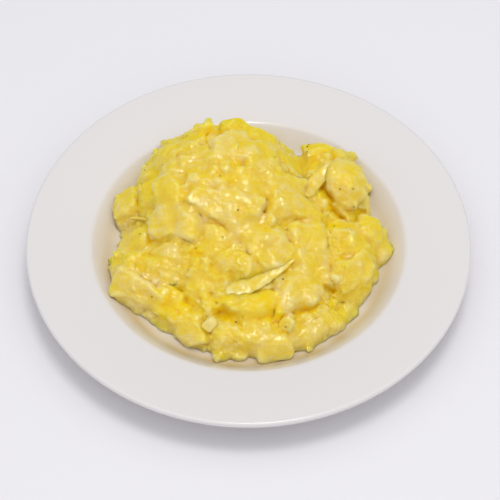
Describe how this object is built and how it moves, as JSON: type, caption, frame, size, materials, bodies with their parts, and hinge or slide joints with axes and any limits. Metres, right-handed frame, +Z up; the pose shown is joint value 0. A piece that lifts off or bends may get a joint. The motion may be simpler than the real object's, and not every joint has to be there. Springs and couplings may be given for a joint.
{
  "type": "potato salad on a plate",
  "caption": "Heap of potato salad, soft chunks of boiled potato with slivers of onion in a creamy dressing, served in a round white porcelain plate with a wide rim.",
  "frame": {"origin": "on the table, under the middle of the plate", "axes": "+Z up out of the plate, +X to the viewer's right, +Y away from the viewer"},
  "size_m": [0.24, 0.24, 0.059],
  "materials": {
    "porcelain": "white glazed porcelain, smooth and glossy",
    "dressed_potato": "stands in for boiled yellow potato and onion, moist with dressing"
  },
  "bodies": {
    "root": {"plate": "porcelain", "potato_salad": "dressed_potato"}
  },
  "joints": []
}
